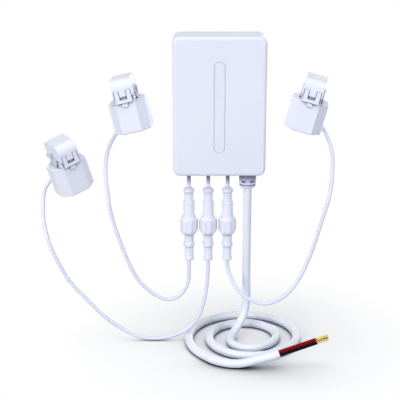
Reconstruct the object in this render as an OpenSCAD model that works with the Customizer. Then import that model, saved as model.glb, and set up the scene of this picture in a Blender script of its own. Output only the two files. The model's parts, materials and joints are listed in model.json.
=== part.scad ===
// Energy monitor: a slim housing with a flush light bar, three clamp-on current
// sensors on leads with screw connectors, and a mains cord coiled on the floor.
// Origin: centre of the rear face, which lies on the wall. Front is -Y, up is +Z.

/* [Housing] */
// Width of the housing
box_w = 75; // [70:1:95]
// Height of the housing
box_h = 114; // [108:1:140]
// Depth of the housing from the wall to its front
box_d = 26; // [25:0.5:34]
// Radius of the corners seen from the front
corner_r = 6; // [5.6:0.2:8]
// Radius of the rounded front edges
edge_r = 2.75; // [1.5:0.25:2.75]
// Thickness of the moulded walls
wall = 2.2; // [1.8:0.1:2.6]
// Thickness of the rear cover
rear_t = 3; // [2.4:0.2:4]
// Thickness of the seal between the two covers
gasket_t = 1; // [0.6:0.1:1.6]
// How far the seal lies inside the outline
gasket_inset = 0.5; // [0.3:0.1:0.8]
// Gap where one cover slips into the other
slip_gap = 0.3; // [0.1:0.05:0.5]

/* [Light bar] */
// Width of the light bar
bar_w = 8.4; // [6:0.2:12]
// Length of the light bar
bar_h = 74; // [60:1:84]
// Fine groove round the light bar
bar_groove = 0.25; // [0.2:0.05:0.8]
// Width of the flange behind the bar
bar_flange = 1.6; // [1:0.2:3]
// Thickness of the fin that carries the light
fin_t = 3; // [2:0.5:4]

/* [Wall fixing] */
// Distance between the two keyholes
keyhole_pitch = 40; // [30:1:46]
// Height of the keyholes above the middle
keyhole_z = 22; // [10:1:28]
// Radius of the hole that passes a screw head
keyhole_r = 4.2; // [3.6:0.1:5]
// Radius of the narrow end
keyhole_slot_r = 2.2; // [1.8:0.1:2.6]
// Rise of the narrow end above the wide one
keyhole_rise = 7; // [6.5:0.5:10]

/* [Circuit board] */
// Width of the board
board_w = 62; // [58:1:64]
// Height of the board
board_h = 88; // [84:1:96]
// Thickness of the board
board_t = 1.6; // [1:0.1:2]
// Height of the posts that carry the board
post_h = 6; // [5:0.5:8]
// Number of lamps behind the light bar
led_count = 6; // [4:1:8]

/* [Connectors] */
// Distance between neighbouring leads
lead_pitch = 16; // [15.5:0.5:18]
// Position of the row of leads beside the middle
lead_row_x = -8.8; // [-10:0.2:-8]
// Diameter of the sensor leads
lead_d = 3.2; // [2.8:0.1:3.6]
// Free lead between the housing and the connector
pigtail_len = 12.8; // [8:0.2:20]
// Radius of the socket's body
socket_r = 4.7; // [4.2:0.1:4.8]
// Radius of the necks
neck_r = 3.7; // [3.2:0.1:3.8]
// Radius of the plug's body
plug_r = 4; // [3.6:0.05:4.1]
// Outer radius of the coupling nut over its ribs
nut_r = 7.3; // [6.8:0.1:7.5]
// Length of the coupling nut
nut_len = 15; // [14:0.5:18]
// Number of grip ribs on the nut
nut_ribs = 10; // [8:1:14]
// Running clearance between parts of the connector
turn_gap = 0.2; // [0.1:0.05:0.3]

/* [Mains cord] */
// Diameter of the mains cord
cord_d = 7; // [6:0.2:7.4]
// Position of the gland beside the middle
gland_x = 23.7; // [22:0.1:26]
// Length of the gland below the housing
gland_len = 12.5; // [11:0.5:20]
// Radius of the gland at the housing
gland_r = 7.1; // [6.6:0.1:7.6]
// Diameter of one insulated core
core_d = 2.8; // [2.2:0.1:3]
// Bared length of the insulated cores
core_len = 32; // [20:1:60]
// Bared length of the copper
strand_len = 10; // [6:0.5:20]

/* [Current sensor] */
// Width of the sensor body
ct_w = 30; // [28:0.5:34]
// Depth of the sensor body
ct_d = 28; // [28:0.5:32]
// Height of the sensor body
ct_h = 25.5; // [25:0.5:30]
// Bevel on the body's four upright corners
ct_bevel = 7; // [4:0.5:7]
// Width of the jaw
jaw_w = 16.5; // [15.5:0.5:20]
// Height of the jaw's top above the body
jaw_h = 19.5; // [18.5:0.5:24]
// Radius of the opening for the conductor
hole_r = 5; // [4.5:0.25:6]
// Height of the split between jaw and body above the shoulder
split_h = 5; // [4.5:0.25:6]
// Gap between the closed jaw and the body
split_gap = 0.3; // [0.2:0.05:0.5]
// Width of the latch loop
latch_w = 13.4; // [11:0.1:15]
// Thickness of the latch loop
latch_t = 1.2; // [1:0.1:1.4]
// Gap round the latch legs
latch_gap = 0.4; // [0.3:0.05:0.5]
// Radius of the hinge pin
pin_r = 1; // [0.8:0.1:1.2]
// Running clearance of the jaw on its pin
pin_gap = 0.06; // [0.03:0.01:0.1]
// Section of the iron core
core_section = 4; // [3:0.25:4]

/* [Hidden] */
$fn = 48;

// Colours
shell_white = [0.9, 0.91, 0.96];
trim_white = [0.84, 0.86, 0.92];
cord_white = [0.88, 0.9, 0.97];
board_green = [0.1, 0.35, 0.2];
dark_grey = [0.18, 0.19, 0.2];
steel = [0.7, 0.71, 0.73];
brass = [0.8, 0.65, 0.3];
copper = [0.85, 0.6, 0.25];
// A cut runs this far past the face it opens
past = 0.5;
// Clearance of a piece that is glued or clipped in its seat
seat_gap = 0.05;

// Housing, counted from the wall
rim_y = -(rear_t + gasket_t);
shell_d = box_d - rear_t - gasket_t;
inside_w = box_w - 2 * wall;
inside_h = box_h - 2 * wall;
inside_r = corner_r - wall;
box_bottom = -box_h / 2;
front_inside_y = -(box_d - wall);
spigot_t = 1.4;
spigot_len = 4;
spigot_notch_h = 3;
// Screws of the covers
cover_boss_r = 2.8;
cover_pilot_r = 1.1;
cover_screw_r = 1;
cover_head_r = 2.7;
cover_head_t = 1.6;
cover_hole_r = 1.5;
cover_bite = 9;
boss_inset = wall + slip_gap + spigot_t + slip_gap + cover_boss_r;
boss_x = box_w / 2 - boss_inset;
boss_z = box_h / 2 - boss_inset;
// Circuit board and what stands on it
post_r = 2.6;
post_pilot_r = 0.9;
board_screw_r = 0.8;
board_head_r = 2;
board_head_t = 1.3;
board_hole_r = 1.2;
board_bite = board_t + post_h - 1.5;
board_back_y = -(rear_t + post_h);
board_front_y = board_back_y - board_t;
post_x = board_w / 2 - 4;
post_z = board_h / 2 - 12;
// Middle across and up, then width, depth and height of the parts on the board
supply_place = [-14, -19];
supply_size = [18, 11, 30];
radio_place = [-14, 24];
radio_size = [17, 0.8, 25];
radio_can_place = [-14, 22];
radio_can_size = [14.5, 2.2, 17];
terminal_place = [13, -27];
terminal_size = [20, 10, 10];
terminal_pitch = 6;
terminal_mouth = [3.6, 4, 5];
terminal_mouth_y = 3.5;
terminal_screw_r = 1.8;
terminal_screw_deep = 4;
capacitor_x = 15;
capacitor_z = [-15, -5];
capacitor_r = 4;
capacitor_len = 10.5;
chip_x = 15;
chip_z = [10, 22, 34];
chip_size = [8, 1.2, 7];
led_size = [3, 1.2, 2.8];
led_end = 10;
led_span = bar_h - 2 * led_end;
fin_gap = 0.6;
fin_end = 7;
fin_h = bar_h - 2 * fin_end;
fin_back_y = board_front_y - led_size[1] - fin_gap;
bar_flange_t = 1.2;

// Leads and connectors, counted down from the housing's bottom
lead_y = -box_d / 2;
lead_x = [for (i = [-1:1]) lead_row_x + i * lead_pitch];
lead_r = lead_d / 2;
lead_bore_r = lead_r + seat_gap;
lead_in_plug = 4;
// Small terminals at the foot of the board that take the leads
header_w = 6;
header_h = 6;
header_low = -board_h / 2 + 2.5;
header_wall = 1.2;
header_d = board_front_y - lead_y + lead_bore_r + header_wall;
lead_in_header = 2;
lead_inside = header_low + lead_in_header - box_bottom;
grommet_r = 2.5;
grommet_flange_r = 3.3;
grommet_flange_t = 0.9;
collar_len = 4.3;
neck_len = 7;
socket_len = 14.1;
plug_body_len = 7.8;
ring_len = 3.3;
tail_len = 9.5;
end_len = 3.4;
bevel = 0.8;
connector_top = box_bottom - pigtail_len;
neck_z = -collar_len;
socket_z = neck_z - neck_len;
nut_z = socket_z - socket_len;
nut_end_z = nut_z - nut_len;
ring_z = nut_end_z - plug_body_len;
tail_z = ring_z - ring_len;
end_z = tail_z - tail_len;
plug_end_z = end_z - end_len;
// Barrel of the socket inside the nut, and the plug's nose inside the barrel
barrel_r = 5;
barrel_len = nut_len - 5.7;
nose_r = 3.4;
nose_bore_r = nose_r + turn_gap;
bore_top = nut_z - 1.8;
nose_top = bore_top - 1;
seal_t = 1.4;
seal_gap = 0.1;
shoulder_z = nut_z - barrel_len - seal_t - seal_gap;
shoulder_t = 1.6;
shoulder_r = 4.7;
nut_bore_r = barrel_r + turn_gap;
lip_top = shoulder_z - shoulder_t - turn_gap;
rib_r = 0.7;
nut_core_r = nut_r - 0.5;
nut_bevel = 1.2;
pin_pitch = 2.6;
contact_r = 0.5;
sleeve_r = 0.85;
contact_root = 3;
contact_reach = 5.5;
sleeve_len = 6;

// Mains gland and cord
cord_r = cord_d / 2;
gland_tip_r = gland_r - 0.5;
gland_neck_r = gland_r - 1.1;
gland_nut_r = gland_r + 0.6;
gland_nut_t = 1.6;
gland_groove = 0.8;
cord_inside = 7;
core_in_terminal = 3;
gland_slot = [3.2, 2.4, 1.4];

// Current sensors: place of the bottom's middle, turn about Z and lean about Y
ct_place = [[-68.5, -13, -20.5], [-119, -13, -70.5], [67.5, -13, -20]];
ct_turn = [-4, 30, -8];
ct_lean = [-13.5, -18, 14.5];
// Side on which each lead leaves the body
ct_side = [-1, -1, 1];
ct_edge = 0.8;
split_z = ct_h + split_h;
jaw_z = split_z + split_gap;
jaw_top = ct_h + jaw_h;
hole_z = ct_h + hole_r + 0.4;
jaw_back_y = ct_d / 2 - 0.5;
neck_front_y = -jaw_back_y;
latch_in_y = -ct_d / 2 - 0.2;
jaw_front_y = latch_in_y - latch_t;
jaw_round = min(7, (jaw_top - jaw_z) / 2);
collar_out = 1.2;
collar_t = 1;
hinge_y = ct_d / 2 + 2;
hinge_z = split_z - split_gap;
knuckle_r = 2.1;
knuckle_w = 8;
knuckle_gap = 0.4;
lug_w = (jaw_w - knuckle_w - knuckle_gap) / 2;
// Latch loop, finger between its legs and the catch it closes over
finger_w = 5.4;
bar_low_z = ct_h + 0.1;
bar_top_z = bar_low_z + 2.8;
latch_root_z = jaw_z + 5.2;
catch_w = finger_w - 0.6;
catch_h = split_z - bar_top_z - 0.2;
catch_clear = 0.1;
boss_size = [4.8, 1, 2.8];
// Iron core and coil
core_w = 10;
core_in = hole_r + 1.6;
core_out = core_in + core_section;
core_top = hole_z + hole_r + 1.4;
core_low = 14;
coil_t = 2.6;
core_gap = 0.12;
// Grommet at the back of the sensor
ct_cord_x = 6;
ct_cord_z = 6;
ct_grommet_len = 5;
ct_grommet_r = 3.2;
ct_grommet_tip_r = 2.3;
ct_grommet_neck_r = 2.2;
ct_grommet_in = 4;
ct_grommet_rim = 1.5;

// Each lead turns into its sensor on an arc that leans outward and down
hook_r = 10;
hook_tilt = 37;
hook_steps = [95, 64, 32, 0];
hook_straight = 1;
// Routes of the leads between the connectors and those arcs
lead_routes = [
  [[-25, -13, -144], [-25.5, -13, -153], [-29, -13, -162], [-35.5, -13, -168.5], [-43, -13, -170.5],
   [-51, -13, -168], [-60, -13, -161.5], [-68, -13, -152.5], [-74, -13, -141.5], [-79, -13, -129],
   [-83.5, -13, -116], [-87.5, -13, -103], [-90.5, -13, -90], [-92, -12.5, -77.5], [-93.5, -10.5, -66],
   [-94, -7.5, -57], [-93.5, -3.5, -49.5], [-92.5, 0.5, -43.5], [-90.5, 5.5, -38]],
  [[-9, -13, -145], [-10.5, -13, -163], [-13, -13, -175], [-17, -13, -186], [-22.5, -13, -194],
   [-30.5, -13, -200.5], [-41, -13, -205], [-56.5, -13, -207], [-69, -13, -205], [-81, -13, -199],
   [-96, -13, -188], [-112, -13, -171], [-127.5, -13, -152.5], [-137.5, -13, -132.5], [-142.5, -12, -120.5],
   [-145.5, -9.5, -109.5], [-147.5, -5.5, -100], [-148, -0.5, -91.5]],
  [[8, -13.5, -142], [10.5, -15, -149.5], [15, -18.5, -157.5], [21, -21, -163.5], [29, -22.5, -168],
   [39, -22.5, -170.5], [50, -20, -168.5], [60, -17, -162], [69, -14, -150], [76.5, -13, -133],
   [84, -13, -108], [88, -12.5, -93.5], [91.5, -11.5, -81], [93.5, -9, -70], [94.5, -5.5, -61],
   [95, -1.5, -52], [94.5, 2.5, -44.5]]
];
// Mains cord: its drop to the floor, the pole and rate of the flat coil, and its tail
drop_route = [
  [23.7, -13, -80], [23.8, -11, -102], [24, -6.7, -130], [24.3, -2.1, -158], [24.4, -0.3, -179.5],
  [22.6, -1.1, -189.4], [17.9, -4.4, -197.9], [12.9, -11.1, -203.5], [10.7, -20.7, -205.5],
  [13.1, -28.9, -205.5], [19.5, -34.7, -205.5], [27.9, -36.2, -205.5]
];
coil_pole = [25.7, -13, -205.5];
coil_inner_r = 15.5;
coil_half_step = 8.8;
coil_from = 0.75;
coil_to = 4.25;
coil_rings = 24;
tail_route = [
  [1, -61.5, -205.5], [9, -64.5, -205.5], [17, -65.5, -205.2], [26, -66, -203], [36, -66, -200.2]
];
tail_end = [49.4, -66, -196];
core_heading = 0;
core_rise = 20.6;
strand_r = 0.42;
strand_twist = 150;
strand_rings = 8;
// Roll of the pair of cores about the cord's axis
core_roll = 82;

// Points on a smooth curve through the given points, with its heading at both ends
function unit(v) = v / norm(v);
function course(p, i, from, to) =
  i == 0 ? from : i == len(p) - 1 ? to
  : let (a = norm(p[i] - p[i - 1]), b = norm(p[i + 1] - p[i]))
    unit(a / b * (p[i + 1] - p[i]) + b / a * (p[i] - p[i - 1]));
function between(a, u, b, v, t) =
  (2 * t * t * t - 3 * t * t + 1) * a + (t * t * t - 2 * t * t + t) * u
  + (3 * t * t - 2 * t * t * t) * b + (t * t * t - t * t) * v;
function smooth(p, steps, from, to) = [
  for (i = [0:len(p) - 2])
    let (d = norm(p[i + 1] - p[i]), u = d * course(p, i, from, to), v = d * course(p, i + 1, from, to))
      for (s = [0:steps - 1]) between(p[i], u, p[i + 1], v, s / steps),
  p[len(p) - 1]
];
function headings(p, from, to) = [
  for (i = [0:len(p) - 1])
    i == 0 ? from : i == len(p) - 1 ? to : unit(p[i + 1] - p[i - 1])
];
// Sideways directions that don't twist along the curve
function carried(t, side, i = 0, done = []) =
  i == len(t) ? done
  : let (s = unit(side - (side * t[i]) * t[i])) carried(t, s, i + 1, concat(done, [s]));
// Closed tube swept along points
module tube(p, r, sides, side, from, to) {
  t = headings(p, from, to);
  s = carried(t, side);
  n = len(p);
  skin = [for (i = [0:n - 1]) for (k = [0:sides - 1])
    let (a = 360 * k / sides) p[i] + r * (cos(a) * s[i] + sin(a) * cross(t[i], s[i]))];
  walls = [for (i = [0:n - 2]) for (k = [0:sides - 1]) let (m = (k + 1) % sides)
    each [[i * sides + k, (i + 1) * sides + k, i * sides + m],
          [i * sides + m, (i + 1) * sides + k, (i + 1) * sides + m]]];
  caps = [for (k = [1:sides - 2])
    each [[0, k, k + 1], [(n - 1) * sides, (n - 1) * sides + k + 1, (n - 1) * sides + k]]];
  polyhedron(skin, concat(walls, caps));
}

// A point given in a sensor's own frame, and the same move for a solid
function turned(p, a) = [p[0] * cos(a) - p[1] * sin(a), p[0] * sin(a) + p[1] * cos(a), p[2]];
function leaned(p, a) = [p[0] * cos(a) + p[2] * sin(a), p[1], p[2] * cos(a) - p[0] * sin(a)];
function in_ct(n, p) = ct_place[n] + turned(leaned(p, ct_lean[n]), ct_turn[n]);
module at_ct(n) {
  translate(ct_place[n]) rotate([0, ct_lean[n], ct_turn[n]]) children();
}
module at_connector(n) {
  translate([lead_x[n], lead_y, connector_top]) children();
}

// Outlines seen from the front
module rounded_outline(w, h, r) {
  square([w - 2 * r, h], center = true);
  square([w, h - 2 * r], center = true);
  for (x = [-1, 1], y = [-1, 1])
    translate([x * (w / 2 - r), y * (h / 2 - r)]) circle(r);
}
module stadium(w, h) {
  square([w, h - w], center = true);
  for (y = [-1, 1]) translate([0, y * (h - w) / 2]) circle(w / 2);
}
// Slab that runs forward from the given depth
module forward(y, t) {
  translate([0, y, 0]) rotate([90, 0, 0]) linear_extrude(t) children();
}
// Rod that runs forward from the given depth
module rod_forward(x, y, z, r, t) {
  translate([x, y, z]) rotate([90, 0, 0]) cylinder(r = r, h = t);
}
// Section with two rounded outer corners
module soft_section(w, d, r) {
  translate([-w / 2, 0]) square([w, d - r]);
  translate([r - w / 2, 0]) square([w - 2 * r, d]);
  for (s = [-1, 1]) translate([s * (w / 2 - r), d - r]) circle(r);
}
// Half of that section, turned about the corner's axis
module soft_post(corner, d, r) {
  rotate_extrude() {
    square([corner, d - r]);
    square([corner - r, d]);
    translate([corner - r, d - r]) circle(r);
  }
}
// Block with rounded corners whose front edges are rounded all round
module soft_block(w, h, d, corner, r) {
  linear_extrude(h - 2 * corner, center = true) mirror([0, 1]) soft_section(w, d, r);
  rotate([0, 90, 0]) linear_extrude(w - 2 * corner, center = true) mirror([0, 1]) soft_section(h, d, r);
  for (x = [-1, 1], z = [-1, 1])
    translate([x * (w / 2 - corner), 0, z * (h / 2 - corner)]) rotate([90, 0, 0]) soft_post(corner, d, r);
}

module front_cover() color(shell_white) {
  difference() {
    translate([0, rim_y, 0]) soft_block(box_w, box_h, shell_d, corner_r, edge_r);
    forward(rim_y + past, shell_d - wall + past) rounded_outline(inside_w, inside_h, inside_r);
    forward(front_inside_y + past, wall + 2 * past) stadium(bar_w + 2 * bar_groove, bar_h + 2 * bar_groove);
    for (x = lead_x) translate([x, lead_y, box_bottom - past])
      cylinder(r = grommet_r + seat_gap, h = wall + 2 * past);
    translate([gland_x, lead_y, box_bottom - past])
      cylinder(r = gland_neck_r + seat_gap, h = wall + 2 * past);
  }
  for (x = [-1, 1], z = [-1, 1]) difference() {
    rod_forward(x * boss_x, rim_y, z * boss_z, cover_boss_r, shell_d - wall);
    rod_forward(x * boss_x, rim_y + past, z * boss_z, cover_pilot_r, cover_bite + 1 + past);
  }
}

module keyhole() {
  circle(keyhole_r);
  translate([-keyhole_slot_r, 0]) square([2 * keyhole_slot_r, keyhole_rise]);
  translate([0, keyhole_rise]) circle(keyhole_slot_r);
}

module rear_cover() color(shell_white) {
  difference() {
    union() {
      forward(0, rear_t) rounded_outline(box_w, box_h, corner_r);
      forward(-rear_t, spigot_len) difference() {
        rounded_outline(inside_w - 2 * slip_gap, inside_h - 2 * slip_gap, inside_r - slip_gap);
        rounded_outline(inside_w - 2 * slip_gap - 2 * spigot_t, inside_h - 2 * slip_gap - 2 * spigot_t,
                        inside_r - slip_gap - spigot_t);
      }
      for (x = [-1, 1], z = [-1, 1]) rod_forward(x * post_x, -rear_t, z * post_z, post_r, post_h);
    }
    for (x = [-1, 1]) translate([x * keyhole_pitch / 2, 0, keyhole_z])
      forward(past, rear_t + 2 * past) keyhole();
    for (x = [-1, 1], z = [-1, 1]) {
      rod_forward(x * boss_x, past, z * boss_z, cover_hole_r, rear_t + 2 * past);
      rod_forward(x * boss_x, past, z * boss_z, cover_head_r + slip_gap, cover_head_t + slip_gap + past);
      rod_forward(x * post_x, -rear_t, z * post_z, post_pilot_r, post_h + past);
    }
    translate([gland_x, lead_y, box_bottom + wall])
      cylinder(r = gland_nut_r + slip_gap, h = spigot_notch_h);
  }
}

module cover_gasket() color(dark_grey)
  forward(-rear_t, gasket_t) difference() {
    rounded_outline(box_w - 2 * gasket_inset, box_h - 2 * gasket_inset, corner_r - gasket_inset);
    rounded_outline(inside_w, inside_h, inside_r);
  }

module light_bar() color(trim_white) {
  forward(front_inside_y, wall) stadium(bar_w, bar_h);
  forward(front_inside_y + bar_flange_t, bar_flange_t)
    stadium(bar_w + 2 * bar_flange, bar_h + 2 * bar_flange);
  forward(fin_back_y, -front_inside_y - bar_flange_t + fin_back_y) square([fin_t, fin_h], center = true);
}

module leds() color("white")
  for (i = [0:led_count - 1])
    translate([-led_size[0] / 2, board_front_y - led_size[1],
               (i / (led_count - 1) - 0.5) * led_span - led_size[2] / 2])
      cube(led_size);

module circuit_board() color(board_green)
  forward(board_back_y, board_t) difference() {
    square([board_w, board_h], center = true);
    for (x = [-1, 1], z = [-1, 1]) translate([x * post_x, z * post_z]) circle(board_hole_r);
  }

// Block that stands on the front of the board
module on_board(place, size) {
  translate([place[0] - size[0] / 2, board_front_y - size[1], place[1] - size[2] / 2]) cube(size);
}

module power_supply_module() color(dark_grey) on_board(supply_place, supply_size);

module wireless_module() color(steel) {
  on_board(radio_place, radio_size);
  translate([0, -radio_size[1], 0]) on_board(radio_can_place, radio_can_size);
}

module mains_terminal_block() color([0.2, 0.5, 0.3]) difference() {
  on_board(terminal_place, terminal_size);
  for (i = [-1:1]) translate([terminal_place[0] + i * terminal_pitch, board_front_y, terminal_place[1]]) {
    rod_forward(0, terminal_screw_deep - terminal_size[1], 0, terminal_screw_r, terminal_screw_deep + past);
    translate([0, -terminal_mouth_y, terminal_mouth[2] / 2 - terminal_size[2] / 2 - past])
      cube(terminal_mouth, center = true);
  }
}

module filter_capacitors() color([0.15, 0.2, 0.35])
  for (z = capacitor_z) rod_forward(capacitor_x, board_front_y, z, capacitor_r, capacitor_len);

module metering_chips() color(dark_grey)
  for (z = chip_z) on_board([chip_x, z], chip_size);

module lead_terminals() color(dark_grey)
  for (x = lead_x) difference() {
    on_board([x, header_low + header_h / 2], [header_w, header_d, header_h]);
    translate([x, lead_y, header_low - past])
      cylinder(r = lead_bore_r, h = lead_in_header + seat_gap + past);
  }

// Insulated cores between the end of the mains cord and its terminals
module inner_core(side, pole) {
  low = [gland_x + side * core_d / 2, lead_y, box_bottom + cord_inside];
  high = [terminal_place[0] + pole * terminal_pitch, board_front_y - terminal_mouth_y,
          terminal_place[1] - terminal_size[2] / 2 + core_in_terminal];
  lift = [0, 0, core_d];
  tube(smooth([low, low + lift, high - 2 * lift, high], 4, [0, 0, 1], [0, 0, 1]), core_d / 2, 8, [1, 0, 0],
       [0, 0, 1], [0, 0, 1]);
}
module inner_cores() color(copper) {
  inner_core(-1, 0);
  inner_core(1, 1);
}

// Screw with its head to the given depth, its shank running forward
module screw(x, y, z, head_r, head_t, shank_r, shank) {
  rod_forward(x, y, z, head_r, head_t);
  rod_forward(x, y - head_t, z, shank_r, shank);
}

module board_screws() color(steel)
  for (x = [-1, 1], z = [-1, 1]) {
    rod_forward(x * post_x, board_front_y, z * post_z, board_head_r, board_head_t);
    rod_forward(x * post_x, board_front_y + board_bite, z * post_z, board_screw_r, board_bite);
  }

module cover_screws() color(steel)
  for (x = [-1, 1], z = [-1, 1])
    screw(x * boss_x, -slip_gap, z * boss_z, cover_head_r, cover_head_t, cover_screw_r,
          rear_t + gasket_t - cover_head_t - slip_gap + cover_bite);

module mains_gland() color(shell_white)
  translate([gland_x, lead_y, box_bottom]) difference() {
    rotate_extrude() polygon([
      [cord_r + seat_gap, wall + gland_nut_t], [gland_nut_r, wall + gland_nut_t], [gland_nut_r, wall],
      [gland_neck_r, wall], [gland_neck_r, 0], [gland_r, 0], [gland_r, -0.3 * gland_len],
      [gland_r - 0.2, -0.74 * gland_len], [gland_r - 0.2 - gland_groove, -0.76 * gland_len],
      [gland_r - 0.2 - gland_groove, -0.8 * gland_len], [gland_r - 0.3, -0.82 * gland_len],
      [gland_tip_r, -0.94 * gland_len], [gland_tip_r - 0.7, -gland_len], [cord_r + seat_gap, -gland_len]
    ]);
    for (a = [30:60:330]) rotate(a)
      translate([-gland_slot[0] / 2, gland_r - 1.5, -0.58 * gland_len]) cube(gland_slot);
  }

module lead_grommets() color(trim_white)
  for (x = lead_x) translate([x, lead_y, box_bottom]) rotate_extrude() polygon([
    [lead_bore_r, -grommet_flange_t], [grommet_flange_r - 0.4, -grommet_flange_t], [grommet_flange_r, 0],
    [grommet_r, 0], [grommet_r, wall], [grommet_flange_r, wall], [grommet_flange_r - 0.4, wall + 1.2],
    [lead_bore_r, wall + 1.2]
  ]);

module pigtails() color(cord_white)
  for (n = [0:2]) at_connector(n)
    translate([0, 0, -collar_len]) cylinder(r = lead_r, h = collar_len + pigtail_len + lead_inside);

// Pairs of contacts beside the connector's axis
module contact_pair() {
  for (s = [-1, 1]) translate([s * pin_pitch / 2, 0, 0]) children();
}

module socket(n) color(shell_white) at_connector(n) difference() {
  union() {
    rotate_extrude() polygon([
      [0, 0], [socket_r - bevel, 0], [socket_r, -bevel], [socket_r, neck_z + bevel],
      [socket_r - bevel, neck_z], [neck_r, neck_z], [neck_r, socket_z], [socket_r - bevel, socket_z],
      [socket_r, socket_z - bevel], [socket_r, nut_z], [barrel_r, nut_z - bevel],
      [barrel_r, nut_z - barrel_len], [0, nut_z - barrel_len]
    ]);
    translate([0, -1.2, socket_z - socket_len + 2]) cube([socket_r + 0.5, 2.4, socket_len - 4]);
  }
  translate([0, 0, nut_z - barrel_len - past])
    cylinder(r = nose_bore_r, h = bore_top - nut_z + barrel_len + past);
  translate([0, 0, -collar_len - seat_gap]) cylinder(r = lead_bore_r, h = collar_len + seat_gap + past);
  contact_pair() translate([0, 0, bore_top - past])
    cylinder(r = contact_r + seat_gap, h = contact_root + past);
}

module contact_pins() color(brass)
  for (n = [0:2]) at_connector(n) contact_pair()
    translate([0, 0, bore_top - contact_reach])
      cylinder(r = contact_r, h = contact_reach + contact_root - seat_gap);

module plug(n) color(shell_white) at_connector(n) difference() {
  rotate_extrude() polygon([
    [0, nose_top], [nose_r - 0.5, nose_top], [nose_r, nose_top - 0.5], [nose_r, shoulder_z],
    [shoulder_r, shoulder_z], [shoulder_r, shoulder_z - shoulder_t], [plug_r, shoulder_z - shoulder_t],
    [plug_r, ring_z], [socket_r - bevel / 2, ring_z], [socket_r, ring_z - bevel / 2],
    [socket_r, tail_z + bevel / 2], [socket_r - bevel / 2, tail_z], [neck_r, tail_z],
    [neck_r, end_z], [plug_r, end_z - bevel / 2], [plug_r, plug_end_z + bevel],
    [plug_r - bevel, plug_end_z], [0, plug_end_z]
  ]);
  contact_pair() translate([0, 0, nose_top - sleeve_len])
    cylinder(r = sleeve_r + seat_gap, h = sleeve_len + past);
  translate([0, 0, plug_end_z - past]) cylinder(r = lead_bore_r, h = lead_in_plug + 1 + past);
}

module contact_sleeves(n) color(brass) at_connector(n) contact_pair() difference() {
  translate([0, 0, nose_top - sleeve_len + seat_gap]) cylinder(r = sleeve_r, h = sleeve_len - seat_gap);
  translate([0, 0, nose_top - sleeve_len + 0.5]) cylinder(r = contact_r + turn_gap / 2, h = sleeve_len);
}

module seal(n) color(dark_grey) at_connector(n)
  translate([0, 0, shoulder_z]) difference() {
    cylinder(r = shoulder_r, h = seal_t);
    translate([0, 0, -past]) cylinder(r = nose_r + seat_gap, h = seal_t + 2 * past);
  }

module nut(n) color(shell_white) at_connector(n) {
  rotate_extrude() polygon([
    [nut_bore_r, nut_z], [nut_core_r - nut_bevel, nut_z], [nut_core_r, nut_z - 1.5 * nut_bevel],
    [nut_core_r, nut_end_z + 1.5 * nut_bevel], [nut_core_r - nut_bevel, nut_end_z],
    [plug_r + turn_gap, nut_end_z],
    [plug_r + turn_gap, lip_top], [nut_bore_r, lip_top]
  ]);
  for (i = [0:nut_ribs - 1]) rotate(360 * i / nut_ribs)
    translate([nut_r - rib_r, 0, nut_end_z + 2 * nut_bevel])
      cylinder(r = rib_r, h = nut_len - 4 * nut_bevel);
}

// A lead runs from inside its plug to inside the sensor's grommet
function hook(n, a) = let (out = hook_r * (1 - cos(a))) in_ct(n, [
  ct_side[n] * (ct_cord_x + out * cos(hook_tilt)),
  ct_d / 2 + ct_grommet_len + hook_straight + hook_r * sin(a),
  ct_cord_z - out * sin(hook_tilt)
]);
function lead_points(n) = concat(
  [for (z = [plug_end_z + lead_in_plug, plug_end_z - 1]) [lead_x[n], lead_y, connector_top + z]],
  lead_routes[n],
  [for (a = hook_steps) hook(n, a)],
  [for (y = [ct_grommet_len, past - ct_grommet_in])
    in_ct(n, [ct_side[n] * ct_cord_x, ct_d / 2 + y, ct_cord_z])]
);
module lead(n) color(cord_white) {
  inward = turned([0, -1, 0], ct_turn[n]);
  tube(smooth(lead_points(n), 2, [0, 0, -1], inward), lead_r, 8, [0, 1, 0], [0, 0, -1], inward);
}

// Octagonal block of a sensor
module ct_outline(inset) {
  x = ct_w / 2 - inset;
  y = ct_d / 2 - inset;
  polygon([
    [x, y - ct_bevel], [x - ct_bevel, y], [ct_bevel - x, y], [-x, y - ct_bevel],
    [-x, ct_bevel - y], [ct_bevel - x, -y], [x - ct_bevel, -y], [x, ct_bevel - y]
  ]);
}
// Rod across the sensor, along the conductor's direction
module across(y, z, r, w) {
  translate([0, y, z]) rotate([0, 90, 0]) cylinder(r = r, h = w, center = true);
}
// Slab across the sensor with a given side view
module across_slab(w) {
  rotate([90, 0, 90]) linear_extrude(w, center = true) children();
}
// Arch of the iron core seen from the side, standing on its feet
module core_arch(foot, top, gap) {
  difference() {
    translate([-core_out - gap, foot - gap]) square([2 * (core_out + gap), top - foot + 2 * gap]);
    translate([-core_in + gap, foot - past])
      square([2 * (core_in - gap), top - core_section - foot + past - gap]);
  }
}
// Trough of the iron core, the other way up
module core_trough(low, foot, gap) {
  translate([0, low + foot]) mirror([0, 1]) core_arch(low, foot, gap);
}

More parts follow.
